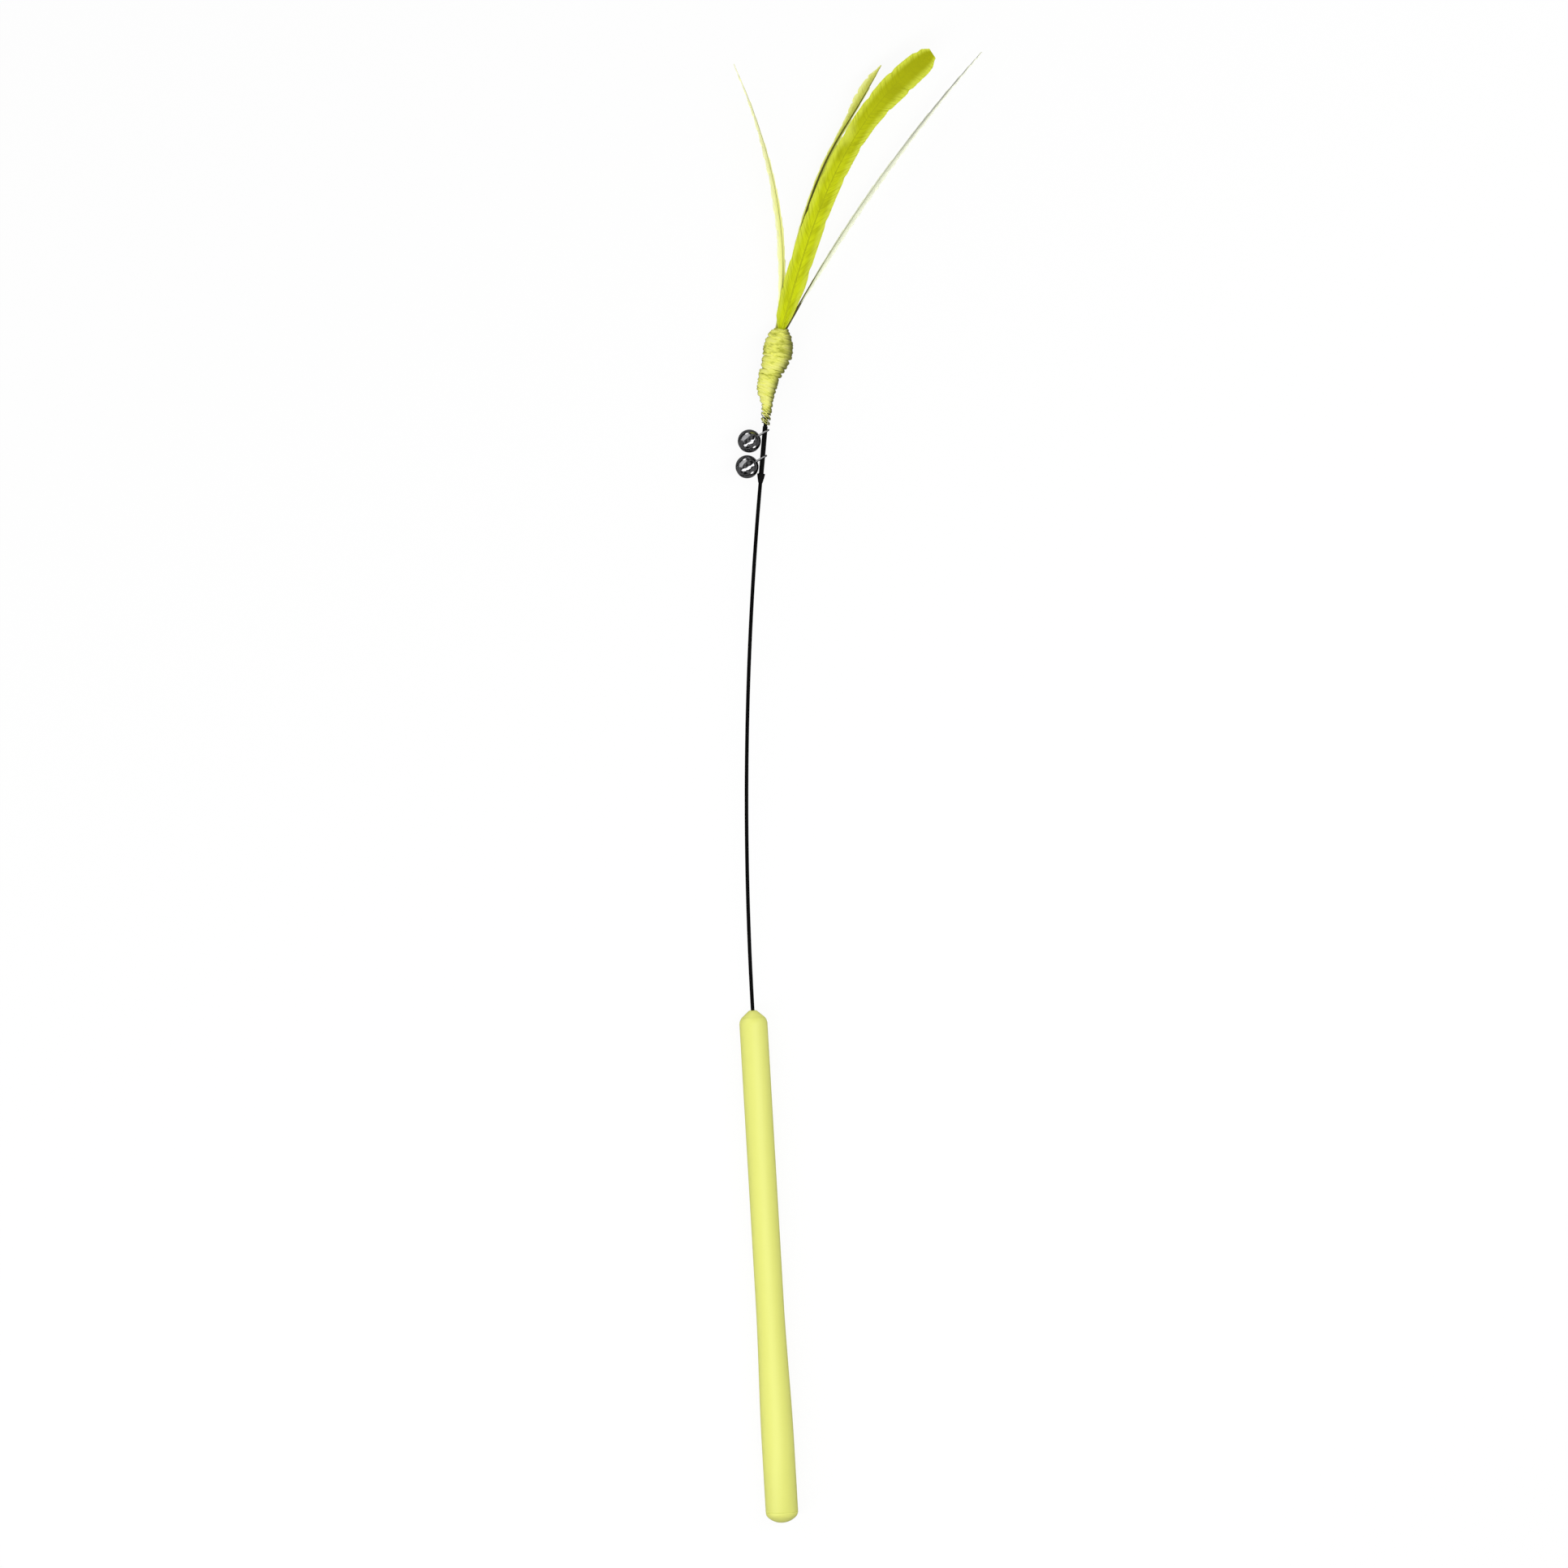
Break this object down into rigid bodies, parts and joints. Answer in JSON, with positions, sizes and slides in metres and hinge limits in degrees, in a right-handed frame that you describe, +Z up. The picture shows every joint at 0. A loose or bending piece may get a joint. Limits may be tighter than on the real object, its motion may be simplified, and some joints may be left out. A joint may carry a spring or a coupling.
{
  "type": "cat teaser wand",
  "caption": "Cat teaser wand: tapered plastic handle, bowed spring wire, thread-bound feathers and small jingle bells.",
  "frame": {"origin": "on the handle's axis, at the middle of the straight butt at its lower end", "axes": "+Y along the handle towards the feathers, +X to the right seen from above, +Z up from the surface that the wand lies on"},
  "size_m": [0.104, 0.504, 0.0128],
  "materials": {
    "handle_plastic": "smooth moulded lemon yellow plastic, semi-gloss",
    "crimp_metal": "plain crimped metal",
    "wire_steel": "black coated spring steel wire, satin",
    "sleeve_plastic": "black shrunk-on plastic sleeve",
    "binding_yarn": "lemon yellow wound yarn, soft and matte",
    "feather_green": "dyed yellow-green feather",
    "feather_yellow": "dyed yellow feather with a dark shaft",
    "feather_pale": "dyed pale yellow feather",
    "feather_grey": "pale grey-green feather",
    "bell_metal": "dark nickel plated pressed sheet",
    "pellet_steel": "plain steel"
  },
  "bodies": {
    "handle": {"handle_tube": "handle_plastic", "end_cap": "handle_plastic", "nose_plug": "handle_plastic", "anchor_crimp": "crimp_metal", "wand_wire": "wire_steel"},
    "tip": {"bell_sleeve": "sleeve_plastic", "binding_core": "binding_yarn", "binding_thread": "binding_yarn", "feather_main": "feather_green", "feather_pointed": "feather_yellow", "feather_left": "feather_pale", "feather_right": "feather_grey"},
    "lower_bell": {"lower_bell_shell": "bell_metal", "lower_bell_loop": "bell_metal"},
    "lower_bell_rattle": {"lower_bell_pellet": "pellet_steel"},
    "upper_bell": {"upper_bell_shell": "bell_metal", "upper_bell_loop": "bell_metal"},
    "upper_bell_rattle": {"upper_bell_pellet": "pellet_steel"}
  },
  "joints": [
    {"name": "wire_flex", "type": "hinge", "parent": "handle", "child": "tip", "pos_m": [0.00327, 0.25162, 0], "axis": [0, 0, 1], "range_deg": [-40, 40], "stiffness_Nm_per_rad": 0.15, "deforming": ["wand_wire"]},
    {"name": "lower_bell_swing", "type": "hinge", "parent": "tip", "child": "lower_bell", "pos_m": [0.01451, 0.35136, 0], "axis": [0.1443, 0.9895, 0], "continuous": true},
    {"name": "lower_bell_rattle_slide", "type": "slide", "parent": "lower_bell", "child": "lower_bell_rattle", "axis": [0, 0, 1], "range_m": [0, 0.00432]},
    {"name": "upper_bell_swing", "type": "hinge", "parent": "tip", "child": "upper_bell", "pos_m": [0.01579, 0.36017, 0], "axis": [0.1443, 0.9895, 0], "continuous": true},
    {"name": "upper_bell_rattle_slide", "type": "slide", "parent": "upper_bell", "child": "upper_bell_rattle", "axis": [0, 0, 1], "range_m": [0, 0.00432]}
  ]
}
